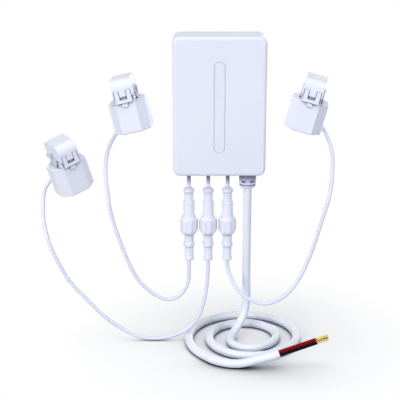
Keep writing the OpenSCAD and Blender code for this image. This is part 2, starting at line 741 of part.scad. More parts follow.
module ct_body(n) color(shell_white) at_ct(n) difference() {
  union() {
    hull() {
      linear_extrude(ct_h) ct_outline(ct_edge);
      translate([0, 0, ct_edge]) linear_extrude(ct_h - 2 * ct_edge) ct_outline(0);
    }
    translate([-jaw_w / 2, neck_front_y, ct_h - 1]) cube([jaw_w, 2 * jaw_back_y, split_h + 1]);
    intersection() {
      across(0, hole_z, hole_r + collar_t, jaw_w + 2 * collar_out);
      translate([-ct_w / 2, -ct_d / 2, ct_h - 2]) cube([ct_w, ct_d, split_h + 2]);
    }
    for (s = [-1, 1]) translate([s * (jaw_w + knuckle_w + knuckle_gap) / 4, 0, 0]) {
      across(hinge_y, hinge_z, knuckle_r, lug_w);
      translate([-lug_w / 2, jaw_back_y - 2, hinge_z - knuckle_r])
        cube([lug_w, hinge_y - jaw_back_y + 2, split_z - hinge_z + knuckle_r]);
    }
    across_slab(catch_w) polygon([
      [neck_front_y + 1, bar_top_z + 0.3], [latch_in_y + catch_clear, bar_top_z + 0.3],
      [latch_in_y, bar_top_z + catch_h / 2], [neck_front_y - 0.2, bar_top_z + catch_h],
      [neck_front_y + 1, bar_top_z + catch_h]
    ]);
    translate([-boss_size[0] / 2, -ct_d / 2 - boss_size[1], bar_low_z - 0.4 - boss_size[2]])
      cube([boss_size[0], boss_size[1] + 1, boss_size[2]]);
  }
  across(0, hole_z, hole_r, ct_w + 2 * past);
  across(hinge_y, hinge_z, pin_r + seat_gap, jaw_w + 2 * past);
  across_slab(core_w + 2 * core_gap) core_trough(core_low, split_z + past, core_gap);
  translate([0, 0, core_low + core_section / 2])
    cube([core_w + 2 * coil_t, 2 * core_in - 4 * core_gap, core_section + 2 * coil_t]
         + 2 * core_gap * [1, 1, 1], center = true);
  translate([ct_side[n] * ct_cord_x, ct_d / 2 + past, ct_cord_z]) rotate([90, 0, 0])
    cylinder(r = ct_grommet_neck_r + seat_gap, h = ct_grommet_in + past);
}

module ct_jaw(n) color(shell_white) at_ct(n) difference() {
  union() {
    translate([0, (jaw_back_y + jaw_front_y) / 2, jaw_z])
      across_slab(jaw_w) soft_section(jaw_back_y - jaw_front_y, jaw_top - jaw_z, jaw_round);
    intersection() {
      across(0, hole_z, hole_r + collar_t, jaw_w + 2 * collar_out);
      translate([-ct_w / 2, -ct_d / 2, jaw_z]) cube([ct_w, ct_d, jaw_h]);
    }
    across(hinge_y, hinge_z, knuckle_r, knuckle_w);
    translate([-knuckle_w / 2, jaw_back_y - 2, jaw_z])
      cube([knuckle_w, hinge_y - jaw_back_y + 2, hinge_z + knuckle_r - jaw_z]);
  }
  across(0, hole_z, hole_r, ct_w + 2 * past);
  across(hinge_y, hinge_z, pin_r + pin_gap, jaw_w + 2 * past);
  across_slab(core_w + 2 * core_gap) core_arch(jaw_z - past, core_top + core_section, core_gap);
  for (s = [-1, 1]) translate([s * (finger_w + latch_w + 2 * latch_gap) / 4, 0, 0])
    translate([-(latch_w + 2 * latch_gap - finger_w) / 4, jaw_front_y - past, ct_h])
      cube([(latch_w + 2 * latch_gap - finger_w) / 2, latch_t + latch_gap + past,
            latch_root_z + seat_gap - ct_h]);
}

module ct_latch(n) color(shell_white) at_ct(n) difference() {
  translate([-latch_w / 2, jaw_front_y, bar_low_z]) cube([latch_w, latch_t, latch_root_z - bar_low_z]);
  translate([-finger_w / 2 - latch_gap, jaw_front_y - past, bar_top_z])
    cube([finger_w + 2 * latch_gap, latch_t + 2 * past, latch_root_z]);
}

module ct_upper_core(n) color(dark_grey) at_ct(n)
  across_slab(core_w) core_arch(jaw_z, core_top + core_section, 0);

module ct_lower_cores() color(dark_grey)
  for (n = [0:2]) at_ct(n) across_slab(core_w) core_trough(core_low, split_z - 0.05, 0);

module ct_coils() color(copper)
  for (n = [0:2]) at_ct(n) difference() {
    translate([-core_w / 2 - coil_t, -core_in + 2 * core_gap, core_low - coil_t])
      cube([core_w + 2 * coil_t, 2 * core_in - 4 * core_gap, core_section + 2 * coil_t]);
    translate([-core_w / 2 - core_gap, -core_in, core_low - core_gap])
      cube([core_w + 2 * core_gap, 2 * core_in, core_section + 2 * core_gap]);
  }

module ct_hinge_pins() color(steel)
  for (n = [0:2]) at_ct(n) across(hinge_y, hinge_z, pin_r, jaw_w);

module ct_grommets() color(trim_white)
  for (n = [0:2]) at_ct(n) translate([ct_side[n] * ct_cord_x, ct_d / 2, ct_cord_z]) rotate([-90, 0, 0])
    rotate_extrude() polygon([
      [lead_bore_r, -ct_grommet_in], [ct_grommet_neck_r, -ct_grommet_in], [ct_grommet_neck_r, 0],
      [ct_grommet_r, 0], [ct_grommet_r, ct_grommet_rim], [ct_grommet_tip_r, ct_grommet_len],
      [lead_bore_r, ct_grommet_len]
    ]);

// Flat coil: half turns counted from its left side, growing at a steady rate
function coil_at(t) = let (r = coil_inner_r + coil_half_step * t, a = 180 + 180 * t)
  coil_pole + r * [cos(a), sin(a), 0];
coil_steps = floor(coil_rings * (coil_to - coil_from) / 2);
coil_turns = [for (i = [0:coil_steps]) coil_at(coil_from + 2 * i / coil_rings)];
coil_last = len(coil_turns) - 1;
coil_from_dir = unit(coil_at(coil_from + 0.01) - coil_turns[0]);
coil_to_dir = unit(coil_turns[coil_last] - coil_at(coil_to - 0.01));
coil_start = coil_turns[0] - cord_d * coil_from_dir;
coil_end = coil_turns[coil_last] + cord_d * coil_to_dir;
coil_points = concat([coil_start], coil_turns, [coil_end]);
// Rings that lie this many steps apart on one turn are not neighbours across turns
coil_skip = coil_rings / 4;
coil_gap = min([for (i = [0:coil_last]) for (j = [i + coil_skip:1:coil_last])
  norm(coil_turns[i] - coil_turns[j]) - cord_d]);
echo(least_gap_in_coil = coil_gap);

core_dir = [cos(core_rise) * cos(core_heading), cos(core_rise) * sin(core_heading), sin(core_rise)];
drop_points = concat(
  [for (z = [box_bottom + cord_inside, box_bottom - gland_len]) [gland_x, lead_y, z]],
  drop_route,
  [coil_start]
);
tail_points = concat([coil_end], tail_route, [for (s = [cord_d, 0]) tail_end - s * core_dir]);

module mains_drop() color(cord_white) {
  tube(smooth(drop_points, 2, [0, 0, -1], coil_from_dir), cord_r, 10, [0, 1, 0], [0, 0, -1], coil_from_dir);
}
module mains_coil() color(cord_white) {
  tube(coil_points, cord_r, 6, [0, 0, 1], coil_from_dir, coil_to_dir);
}
module mains_tail() color(cord_white) {
  tube(smooth(tail_points, 2, coil_to_dir, core_dir), cord_r, 10, [0, 0, 1], coil_to_dir, core_dir);
}

// Place beside the cord's axis at its bared end, with Z along the cores
module at_core(side, along) {
  translate(tail_end + along * core_dir) rotate([0, 0, core_heading]) rotate([0, 90 - core_rise, 0])
    rotate(core_roll) translate([0, side * (core_d / 2 + seat_gap), 0]) children();
}
module core(side) {
  at_core(side, 0) cylinder(d = core_d, h = core_len);
}
module red_core() color([0.65, 0.05, 0.06]) core(1);
module black_core() color([0.03, 0.03, 0.03]) core(-1);
// Stranded conductor: one straight strand with six laid round it
module strand(phase) {
  lay = phase < 0 ? 0 : 2 * strand_r + 2 * seat_gap;
  turns = [for (i = [0:strand_rings]) let (a = phase + strand_twist * i / strand_rings)
    [lay * cos(a), lay * sin(a), strand_len * i / strand_rings]];
  tube(turns, strand_r, 6, [1, 0, 0], [0, 0, 1], [0, 0, 1]);
}
module copper_strands() color(copper)
  for (side = [-1, 1]) at_core(side, core_len) {
    strand(-1);
    for (a = [0:60:300]) strand(a);
  }

front_cover();
rear_cover();
cover_gasket();
light_bar();
leds();
circuit_board();
power_supply_module();
wireless_module();
mains_terminal_block();
filter_capacitors();
metering_chips();
lead_terminals();
inner_cores();
board_screws();
cover_screws();
mains_gland();
lead_grommets();
pigtails();
socket(0);  // socket_1
socket(1);  // socket_2
socket(2);  // socket_3
plug(0);  // plug_1
plug(1);  // plug_2
plug(2);  // plug_3
nut(0);  // nut_1
nut(1);  // nut_2
nut(2);  // nut_3
seal(0);  // seal_1
seal(1);  // seal_2
seal(2);  // seal_3
contact_pins();
contact_sleeves(0);  // contact_sleeves_1
contact_sleeves(1);  // contact_sleeves_2
contact_sleeves(2);  // contact_sleeves_3
lead(0);  // lead_1
lead(1);  // lead_2
lead(2);  // lead_3
ct_body(0);  // ct_1_body
ct_body(1);  // ct_2_body
ct_body(2);  // ct_3_body
ct_jaw(0);  // ct_1_jaw
ct_jaw(1);  // ct_2_jaw
ct_jaw(2);  // ct_3_jaw
ct_latch(0);  // ct_1_latch
ct_latch(1);  // ct_2_latch
ct_latch(2);  // ct_3_latch
ct_upper_core(0);  // ct_1_upper_core
ct_upper_core(1);  // ct_2_upper_core
ct_upper_core(2);  // ct_3_upper_core
ct_lower_cores();
ct_coils();
ct_hinge_pins();
ct_grommets();
mains_drop();
mains_coil();
mains_tail();
red_core();
black_core();
copper_strands();
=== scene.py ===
import json
import math

import bmesh
import bpy
from mathutils import Matrix, Vector


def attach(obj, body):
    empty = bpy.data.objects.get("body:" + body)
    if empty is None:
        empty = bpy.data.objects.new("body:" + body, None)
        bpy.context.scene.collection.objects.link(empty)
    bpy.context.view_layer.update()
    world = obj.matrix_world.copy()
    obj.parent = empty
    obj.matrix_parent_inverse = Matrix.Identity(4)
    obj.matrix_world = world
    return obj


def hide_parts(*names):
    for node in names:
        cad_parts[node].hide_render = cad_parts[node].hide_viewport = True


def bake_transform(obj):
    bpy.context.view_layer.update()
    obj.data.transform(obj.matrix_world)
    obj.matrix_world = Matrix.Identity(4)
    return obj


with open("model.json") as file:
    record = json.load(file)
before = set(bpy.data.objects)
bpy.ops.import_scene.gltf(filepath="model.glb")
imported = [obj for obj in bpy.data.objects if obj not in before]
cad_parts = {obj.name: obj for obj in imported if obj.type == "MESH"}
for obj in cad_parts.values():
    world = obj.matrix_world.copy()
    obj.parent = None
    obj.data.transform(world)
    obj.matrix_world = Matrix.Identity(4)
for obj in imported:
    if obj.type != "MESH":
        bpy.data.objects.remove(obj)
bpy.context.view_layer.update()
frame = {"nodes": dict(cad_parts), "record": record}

# Energy monitor: a housing, three clamp sensors on leads with screw connectors, and a coiled mains cord
scene = bpy.context.scene
scene.view_settings.view_transform = "Standard"

# Pieces are written in millimetres, and the stage and the finishes in metres
MM = 0.001
FLOOR_Z = -0.209

# Camera at the photograph's viewing angle
CAMERA_SPOT = (-0.0156, -0.888, 0.2021)
CAMERA_TILT = math.radians(72.06)
FOCAL_LENGTH = 99.6
FILM_WIDTH = 36
SIGHT_END = 30


def set_camera():
    lens = bpy.data.cameras.new("camera")
    lens.lens = FOCAL_LENGTH
    lens.sensor_width = FILM_WIDTH
    lens.clip_end = SIGHT_END
    camera = bpy.data.objects.new("camera", lens)
    camera.location = CAMERA_SPOT
    camera.rotation_euler = (CAMERA_TILT, 0, 0)
    scene.collection.objects.link(camera)
    scene.camera = camera


set_camera()


# Node steps that finishes, floor and node trees share; a value is a number, a tuple or a socket
def feed(links, socket, value):
    if isinstance(value, (int, float, tuple)):
        socket.default_value = value
    else:
        links.new(value, socket)


def arith(nodes, links, operation, *values):
    node = nodes.new("ShaderNodeMath")
    node.operation = operation
    for socket, value in zip(node.inputs, values):
        feed(links, socket, value)
    return node.outputs["Value"]


def mapped(nodes, links, value, source, target, soft=False):
    node = nodes.new("ShaderNodeMapRange")
    if soft:
        node.interpolation_type = "SMOOTHSTEP"
    for label, number in zip(("From Min", "From Max", "To Min", "To Max"), (*source, *target)):
        node.inputs[label].default_value = number
    links.new(value, node.inputs["Value"])
    return node.outputs["Result"]


def ramp(nodes, links, value, span, dark, light):
    node = nodes.new("ShaderNodeValToRGB")
    for stop, position, colour in zip(node.color_ramp.elements, span, (dark, light)):
        stop.position = position
        stop.color = (*colour, 1)
    links.new(value, node.inputs["Fac"])
    return node.outputs["Color"]


def blended(nodes, links, share, low, high):
    node = nodes.new("ShaderNodeMix")
    node.data_type = "RGBA"
    for label, value in (("Factor", share), ("A", low), ("B", high)):
        feed(links, node.inputs[label], value)
    return node.outputs["Result"]


def noise(nodes, links, vector, scale, detail=2.0, rough=0.5):
    node = nodes.new("ShaderNodeTexNoise")
    for label, value in (("Scale", scale), ("Detail", detail), ("Roughness", rough), ("Vector", vector)):
        feed(links, node.inputs[label], value)
    return node.outputs["Fac"]


def open_air(nodes, links, reach, samples, facing=None):
    node = nodes.new("ShaderNodeAmbientOcclusion")
    node.samples = samples
    node.inputs["Distance"].default_value = reach
    if facing is not None:
        links.new(facing, node.inputs["Normal"])
    return node.outputs["AO"]


# Steps of a finish: the part of a pattern that carries its changes of gloss and of tone
GLOSS_SPAN = (0.3, 0.7)
TONE_SPAN = (0.32, 0.68)


def blank_finish(name, roughness, metallic=0.0):
    finish = bpy.data.materials.new(name)
    finish.use_nodes = True
    nodes = finish.node_tree.nodes
    shader = nodes["Principled BSDF"]
    shader.inputs["Roughness"].default_value = roughness
    shader.inputs["Metallic"].default_value = metallic
    return finish, nodes, finish.node_tree.links, shader


def stretched(nodes, links, vector, scale):
    node = nodes.new("ShaderNodeMapping")
    node.inputs["Scale"].default_value = scale
    links.new(vector, node.inputs["Vector"])
    return node.outputs["Vector"]


def gloss(nodes, links, shader, pattern, roughness, spread):
    low, high = spread
    uneven = mapped(nodes, links, pattern, GLOSS_SPAN, (roughness + low, roughness + high))
    links.new(uneven, shader.inputs["Roughness"])


def relief(nodes, links, shader, height, strength, depth):
    node = nodes.new("ShaderNodeBump")
    node.inputs["Strength"].default_value = strength
    node.inputs["Distance"].default_value = depth
    links.new(height, node.inputs["Height"])
    links.new(node.outputs["Normal"], shader.inputs["Normal"])


# Painted shade: colour darkened in corners and under overhangs, deeper where less open air is left above
OPEN_SHARE = 0.86
SKY_LEAN = (0, 0, 0.8)
SHADE_SAMPLES = 8
# Colour of the painted shade on white parts
PAINTED_SHADE_ON_WHITE = (0.07, 0.07, 0.14)


def corner_shade(nodes, links, colour, power, reach, shade_tone):
    upward = nodes.new("ShaderNodeVectorMath")
    upward.inputs[1].default_value = SKY_LEAN
    links.new(nodes.new("ShaderNodeNewGeometry").outputs["Normal"], upward.inputs[0])
    unit = nodes.new("ShaderNodeVectorMath")
    unit.operation = "NORMALIZE"
    links.new(upward.outputs["Vector"], unit.inputs[0])
    air = open_air(nodes, links, reach, SHADE_SAMPLES, unit.outputs["Vector"])
    clear = arith(nodes, links, "POWER", mapped(nodes, links, air, (0, OPEN_SHARE), (0, 1)), power)
    return blended(nodes, links, clear, (*shade_tone, 1), colour)


# Two tones over a pattern, and painted corner shade where a finish gives its power and reach
def coloured(nodes, links, shader, pattern, dark, light, shade, shade_tone=PAINTED_SHADE_ON_WHITE):
    colour = ramp(nodes, links, pattern, TONE_SPAN, dark, light)
    if shade:
        power, reach = shade
        colour = corner_shade(nodes, links, colour, power, reach, shade_tone)
    links.new(colour, shader.inputs["Base Color"])


# Moulded plastic: a fine eroded grain, faint flow clouds, uneven gloss and painted shade where given
GRAIN_STRENGTH = 0.35
MOULD_GLOSS = (-0.05, 0.06)


def moulded(name, dark, light, roughness, grain=1500, depth=0.00006, shade=None):
    finish, nodes, links, shader = blank_finish(name, roughness)
    place = nodes.new("ShaderNodeTexCoord").outputs["Object"]
    clouds = noise(nodes, links, place, scale=16, detail=3)
    coloured(nodes, links, shader, clouds, dark, light, shade)
    fine = noise(nodes, links, place, grain, detail=3, rough=0.6)
    gloss(nodes, links, shader, fine, roughness, MOULD_GLOSS)
    relief(nodes, links, shader, fine, GRAIN_STRENGTH, depth)
    return finish


# Extruded jacket: faint drawn lines along the cord, slow changes of tone and a milky depth
# Painted shade comes in where a finish gives it
DRAWN_LENGTH = 0.12
LINE_DEPTH = 0.00005
JACKET_GLOSS = (-0.06, 0.06)
SOAK_COLOUR = (0.45, 0.6, 1)
SOAK_DEPTH = 0.006


def extruded(name, dark, light, roughness, lines=26, gleam=0.5, soak=0, ridge=0.16, shade=None):
    finish, nodes, links, shader = blank_finish(name, roughness)
    shader.inputs["Specular IOR Level"].default_value = gleam
    shader.inputs["Subsurface Weight"].default_value = soak
    shader.inputs["Subsurface Radius"].default_value = SOAK_COLOUR
    shader.inputs["Subsurface Scale"].default_value = SOAK_DEPTH
    spot = nodes.new("ShaderNodeUVMap")
    spot.uv_map = "jacket"
    lay = stretched(nodes, links, spot.outputs["UV"], (lines, DRAWN_LENGTH, 1))
    drawn = noise(nodes, links, lay, scale=1, detail=3, rough=0.55)
    place = nodes.new("ShaderNodeTexCoord").outputs["Object"]
    clouds = noise(nodes, links, place, scale=40)
    coloured(nodes, links, shader, clouds, dark, light, shade)
    gloss(nodes, links, shader, drawn, roughness, JACKET_GLOSS)
    relief(nodes, links, shader, drawn, ridge, LINE_DEPTH)
    return finish


# Drawn or plated metal with streaks; painted shade, where given, is darkest in the gaps between strands
STREAK_STRENGTH = 0.2
STREAK_DEPTH = 0.00004
METAL_GLOSS = (-0.08, 0.1)
# Share of the dark tone that the painted shade in the gaps takes
GAP_SHADE_SHARE = 0.2


def metal(name, dark, light, roughness, streaks, shade=None):
    finish, nodes, links, shader = blank_finish(name, roughness, metallic=1.0)
    place = nodes.new("ShaderNodeTexCoord").outputs["Object"]
    lines = noise(nodes, links, stretched(nodes, links, place, streaks), scale=1, detail=4, rough=0.6)
    coloured(nodes, links, shader, lines, dark, light, shade, [GAP_SHADE_SHARE * tone for tone in dark])
    gloss(nodes, links, shader, lines, roughness, METAL_GLOSS)
    relief(nodes, links, shader, lines, STREAK_STRENGTH, STREAK_DEPTH)
    return finish


# Board laminate: solder mask over faint weave
WEAVE_SCALE = 900
MASK_STRENGTH = 0.2
MASK_DEPTH = 0.00004
MASK_GLOSS = (-0.07, 0.07)


def laminate(name, dark, light, roughness):
    finish, nodes, links, shader = blank_finish(name, roughness)
    place = nodes.new("ShaderNodeTexCoord").outputs["Object"]
    turn = nodes.new("ShaderNodeMapping")
    turn.inputs["Rotation"].default_value = (math.radians(90), 0, 0)
    links.new(place, turn.inputs["Vector"])
    weave = nodes.new("ShaderNodeTexBrick")
    weave.inputs["Scale"].default_value = WEAVE_SCALE
    for label, tone in (("Color1", dark), ("Color2", light), ("Mortar", dark)):
        weave.inputs[label].default_value = (*tone, 1)
    links.new(turn.outputs["Vector"], weave.inputs["Vector"])
    links.new(weave.outputs["Color"], shader.inputs["Base Color"])
    fine = noise(nodes, links, place, scale=700)
    gloss(nodes, links, shader, fine, roughness, MASK_GLOSS)
    relief(nodes, links, shader, fine, MASK_STRENGTH, MASK_DEPTH)
    return finish


# Finishes by material slot: name, dark tone, light tone and roughness, and what sets each one apart
# shade: power and reach of the painted shade in corners, gaps and under overhangs
FINISHES = {
    "shell": moulded("shell_white", (0.785, 0.786, 0.858), (0.81, 0.808, 0.873), 0.46),
    "connector_plastic": moulded("connector_white", (0.84, 0.852, 0.945), (0.865, 0.872, 0.955), 0.46,
                                 shade=(1.5, 0.003)),
    "sensor_plastic": moulded("sensor_white", (0.80, 0.807, 0.89), (0.825, 0.827, 0.905), 0.46,
                              shade=(1.3, 0.0035)),
    "light_guide": moulded("milky_diffuser", (0.772, 0.788, 0.868), (0.797, 0.806, 0.883), 0.28,
                           grain=2200, depth=0.00003),
    "lamp": moulded("lamp_lens", (0.85, 0.84, 0.70), (0.92, 0.91, 0.78), 0.2),
    "board": laminate("solder_mask", (0.01, 0.09, 0.04), (0.015, 0.12, 0.05), 0.35),
    "dark_component": moulded("black_moulding", (0.012, 0.012, 0.014), (0.022, 0.022, 0.025), 0.5),
    "metal_can": metal("tinned_can", (0.52, 0.53, 0.55), (0.66, 0.67, 0.69), 0.32, (60, 60, 900)),
    "terminal_plastic": moulded("terminal_green", (0.02, 0.14, 0.05), (0.03, 0.19, 0.07), 0.42),
    "capacitor_sleeve": moulded("shrink_sleeve", (0.008, 0.014, 0.06), (0.014, 0.022, 0.085), 0.3),
    "steel": metal("zinc_plate", (0.42, 0.43, 0.45), (0.58, 0.59, 0.60), 0.34, (300, 300, 1200)),
    "rubber_white": moulded("soft_white_rubber", (0.66, 0.68, 0.80), (0.70, 0.72, 0.84), 0.55, grain=900),
    "cord_jacket": extruded("white_jacket", (0.84, 0.856, 0.975), (0.87, 0.886, 0.985), 0.42, soak=0.6),
    "seal_rubber": moulded("black_rubber", (0.012, 0.012, 0.013), (0.024, 0.024, 0.026), 0.62, grain=800),
    "contact_brass": metal("plated_contact", (0.62, 0.42, 0.13), (0.80, 0.58, 0.22), 0.25,
                           (500, 500, 1500)),
    "iron_core": moulded("ground_ferrite", (0.022, 0.022, 0.025), (0.045, 0.045, 0.05), 0.45,
                         grain=2600, depth=0.00004),
    "winding": metal("enamelled_wire", (0.30, 0.10, 0.03), (0.55, 0.22, 0.07), 0.3, (2500, 60, 60)),
    "red_insulation": extruded("red_insulation", (0.20, 0.002, 0.006), (0.27, 0.004, 0.01), 0.42,
                               lines=14, gleam=0.04),
    "black_insulation": extruded("black_insulation", (0.003, 0.003, 0.004), (0.008, 0.008, 0.009), 0.4,
                                 lines=14, gleam=0.03),
    "copper": metal("bare_strands", (0.64, 0.48, 0.17), (0.90, 0.74, 0.35), 0.3, (900, 900, 900),
                    shade=(2.0, 0.0016)),
}

# Pieces with a finish of their own, by the solid they stand for
# The gland and the short leads carry deep painted shade under the housing
OWN_FINISH = {
    "mains_gland": moulded("gland_white", (0.80, 0.815, 0.945), (0.83, 0.84, 0.96), 0.46,
                           shade=(3.0, 0.009)),
    "pigtails": extruded("short_lead_jacket", (0.84, 0.85, 0.95), (0.87, 0.88, 0.965), 0.42,
                         shade=(2.8, 0.011)),
}
LEAD_WHITE = extruded("sensor_lead_jacket", (0.765, 0.785, 0.90), (0.79, 0.81, 0.915), 0.46,
                      lines=10, ridge=0.06)
OWN_FINISH.update({f"lead_{i}": LEAD_WHITE for i in (1, 2, 3)})
SLOT_OF = {part["node"]: part["material_slot"] for part in frame["record"]["subparts"]}
BODY_OF = {node: body for body, members in frame["record"]["behaviour"]["bodies"].items()
           for node in members}


# A finished piece: its material, the body that carries it and the solids it stands for
def place_piece(piece, slot, body, *solids):
    piece.data.materials.clear()
    piece.data.materials.append(OWN_FINISH.get(solids[0] if solids else "", FINISHES[slot]))
    if piece.name not in scene.collection.objects:
        scene.collection.objects.link(piece)
    if solids:
        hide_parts(*solids)
    if body:
        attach(piece, body)
    return piece


# Meshes made into objects, and shaded smooth
def as_object(work, name):
    data = bpy.data.meshes.new(name)
    work.to_mesh(data)
    work.free()
    return bpy.data.objects.new(name, data)


def smooth(mesh):
    for face in mesh.polygons:
        face.use_smooth = True


def even_shading(piece):
    level = piece.modifiers.new("even_shading", "WEIGHTED_NORMAL")
    level.keep_sharp = True
    return piece


# Routes: a smooth curve through points, with its heading at both ends
def course(points, i, first, last):
    if i == 0:
        return first
    if i == len(points) - 1:
        return last
    before = points[i] - points[i - 1]
    after = points[i + 1] - points[i]
    a, b = before.length, after.length
    return (after * (a / b) + before * (b / a)).normalized()


def route(points, first, last, steps):
    points = [Vector(p) for p in points]
    way = []
    for i in range(len(points) - 1):
        span = (points[i + 1] - points[i]).length
        u = course(points, i, first, last) * span
        v = course(points, i + 1, first, last) * span
        for s in range(steps):
            t = s / steps
            way.append(points[i] * (2 * t**3 - 3 * t * t + 1) + u * (t**3 - 2 * t * t + t)
                       + points[i + 1] * (3 * t * t - 2 * t**3) + v * (t**3 - t * t))
    way.append(points[-1])
    return way


# Tube swept along a route, with softly rounded rims and a map that follows the jacket
RIM_STEPS = 3
STEEP = 0.8


def tube(name, way, radius, sides=24, rim=0.16):
    heads = [(way[min(i + 1, len(way) - 1)] - way[max(i - 1, 0)]).normalized() for i in range(len(way))]
    soft = radius * rim
    corner = [(soft * (1 - math.cos(turn)), radius - soft + soft * math.sin(turn))
              for turn in (math.pi / 2 * k / RIM_STEPS for k in range(RIM_STEPS + 1))]
    stations = [(way[0] + heads[0] * inward, heads[0], reach) for inward, reach in corner]
    stations += [(p, h, radius) for p, h in zip(way[1:-1], heads[1:-1])
                 if (p - way[0]).length > 2 * soft and (p - way[-1]).length > 2 * soft]
    stations += [(way[-1] - heads[-1] * inward, heads[-1], reach) for inward, reach in reversed(corner)]
    work = bmesh.new()
    chart = work.loops.layers.uv.new("jacket")
    side = Vector((0, 0, 1)) if abs(heads[0].z) < STEEP else Vector((0, 1, 0))
    rings, marks = [], []
    along, last = 0.0, stations[0][0]
    for spot, head, reach in stations:
        side = (side - head * side.dot(head)).normalized()
        other = head.cross(side)
        along += (spot - last).length
        last = spot
        marks.append(along / radius)
        rings.append([work.verts.new(spot + (side * math.cos(a) + other * math.sin(a)) * reach)
                      for a in (2 * math.pi * k / sides for k in range(sides))])
    for i in range(len(rings) - 1):
        for k in range(sides):
            m = (k + 1) % sides
            face = work.faces.new((rings[i][k], rings[i][m], rings[i + 1][m], rings[i + 1][k]))
            face.smooth = True
            spots = ((k, i), (k + 1, i), (k + 1, i + 1), (k, i + 1))
            for loop, (around, far) in zip(face.loops, spots):
                loop[chart].uv = (around / sides, marks[far])
    work.faces.new(list(reversed(rings[0])))
    work.faces.new(rings[-1])
    bmesh.ops.recalc_face_normals(work, faces=work.faces)
    return as_object(work, name)


# Sensors: place of the bottom's middle, turn about Z and lean about Y
SENSOR_PLACE = [(-68.5, -13, -20.5), (-119, -13, -70.5), (67.5, -13, -20)]
SENSOR_TURN = [-4, 30, -8]
SENSOR_LEAN = [-13.5, -18, 14.5]
SENSOR_SIDE = [-1, -1, 1]
SENSOR_MOVE = [
    Matrix.Translation(Vector(spot) * MM)
    @ Matrix.Rotation(math.radians(turn), 4, "Z") @ Matrix.Rotation(math.radians(lean), 4, "Y")
    for spot, turn, lean in zip(SENSOR_PLACE, SENSOR_TURN, SENSOR_LEAN)
]

# Sensor leads: out of the plugs, along the shown routes and in a short turn into the sensors
LEAD_X = [-24.8, -8.8, 7.2]
LEAD_Y = -13
LEAD_R = 1.6 * MM
LEAD_STEPS = 6
PLUG_END_Z = -134.2
PLUG_HOLD = (4, -1)
DOWN = Vector((0, 0, -1))
LEAD_ROUTES = [
    [(-25, -13, -144), (-25.5, -13, -153), (-29, -13, -162), (-35.5, -13, -168.5), (-43, -13, -170.5),
     (-51, -13, -168), (-60, -13, -161.5), (-68, -13, -152.5), (-74, -13, -141.5), (-79, -13, -129),
     (-83.5, -13, -116), (-87.5, -13, -103), (-90.5, -13, -90), (-92, -12.5, -77.5), (-93.5, -10.5, -66),
     (-94, -7.5, -57), (-93.5, -3.5, -49.5), (-92.5, 0.5, -43.5), (-90.5, 5.5, -38)],
    [(-9, -13, -145), (-10.5, -13, -163), (-13, -13, -175), (-17, -13, -186), (-22.5, -13, -194),
     (-30.5, -13, -200.5), (-41, -13, -205), (-56.5, -13, -207), (-69, -13, -205), (-81, -13, -199),
     (-96, -13, -188), (-112, -13, -171), (-127.5, -13, -152.5), (-137.5, -13, -132.5),
     (-142.5, -12, -120.5), (-145.5, -9.5, -109.5), (-147.5, -5.5, -100), (-148, -0.5, -91.5)],
    [(8, -13.5, -142), (10.5, -15, -149.5), (15, -18.5, -157.5), (21, -21, -163.5), (29, -22.5, -168),
     (39, -22.5, -170.5), (50, -20, -168.5), (60, -17, -162), (69, -14, -150), (76.5, -13, -133),
     (84, -13, -108), (88, -12.5, -93.5), (91.5, -11.5, -81), (93.5, -9, -70), (94.5, -5.5, -61),
     (95, -1.5, -52), (94.5, 2.5, -44.5)],
]
HOOK_R = 10
HOOK_TILT = math.radians(37)
HOOK_ANGLES = (95, 64, 32, 0)
INLET_X, INLET_Y, INLET_Z = 6, 20, 6
INLET_DEPTHS = (19, 10.5)


def lead_way(n):
    side, move = SENSOR_SIDE[n], SENSOR_MOVE[n]
    spots = [Vector((LEAD_X[n], LEAD_Y, PLUG_END_Z + z)) * MM for z in PLUG_HOLD]
    spots += [Vector(p) * MM for p in LEAD_ROUTES[n]]
    for angle in map(math.radians, HOOK_ANGLES):
        out = HOOK_R * (1 - math.cos(angle))
        hook = Vector((side * (INLET_X + out * math.cos(HOOK_TILT)),
                       INLET_Y + HOOK_R * math.sin(angle),
                       INLET_Z - out * math.sin(HOOK_TILT)))
        spots.append(move @ (hook * MM))
    spots += [move @ (Vector((side * INLET_X, y, INLET_Z)) * MM) for y in INLET_DEPTHS]
    return route(spots, DOWN, move.to_3x3() @ Vector((0, -1, 0)), LEAD_STEPS)


def make_leads():
    for n in range(3):
        way = lead_way(n)
        lead = tube(f"sensor_lead_{n + 1}", way, LEAD_R, sides=20)
        place_piece(lead, "cord_jacket", None, f"lead_{n + 1}")
        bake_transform(lead)


# Mains cord: drop from the gland, flat coil on the floor, and a tail that lifts to its bared end
CORD_R = 3.5 * MM
CORD_STEPS = 8
CORD_STRAIGHT = 7
GLAND_X = 23.7
GLAND_HOLD_Z = -64
GLAND_END_Z = -69.5
DROP_ROUTE = [
    (23.7, -13, -80), (23.8, -11, -102), (24, -6.7, -130), (24.3, -2.1, -158), (24.4, -0.3, -179.5),
    (22.6, -1.1, -189.4), (17.9, -4.4, -197.9), (12.9, -11.1, -203.5), (10.7, -20.7, -205.5),
    (13.1, -28.9, -205.5), (19.5, -34.7, -205.5), (27.9, -36.2, -205.5),
]
COIL_POLE = Vector((25.7, -13, -205.5))
COIL_R = 15.5
COIL_GAIN = 8.8
COIL_FROM, COIL_TO = 0.75, 4.25
COIL_STEPS = 168
COIL_AHEAD = 0.01
TAIL_ROUTE = [
    (1, -61.5, -205.5), (9, -64.5, -205.5), (17, -65.5, -205.2), (26, -66, -203), (36, -66, -200.2),
]
TAIL_END = Vector((49.4, -66, -196))

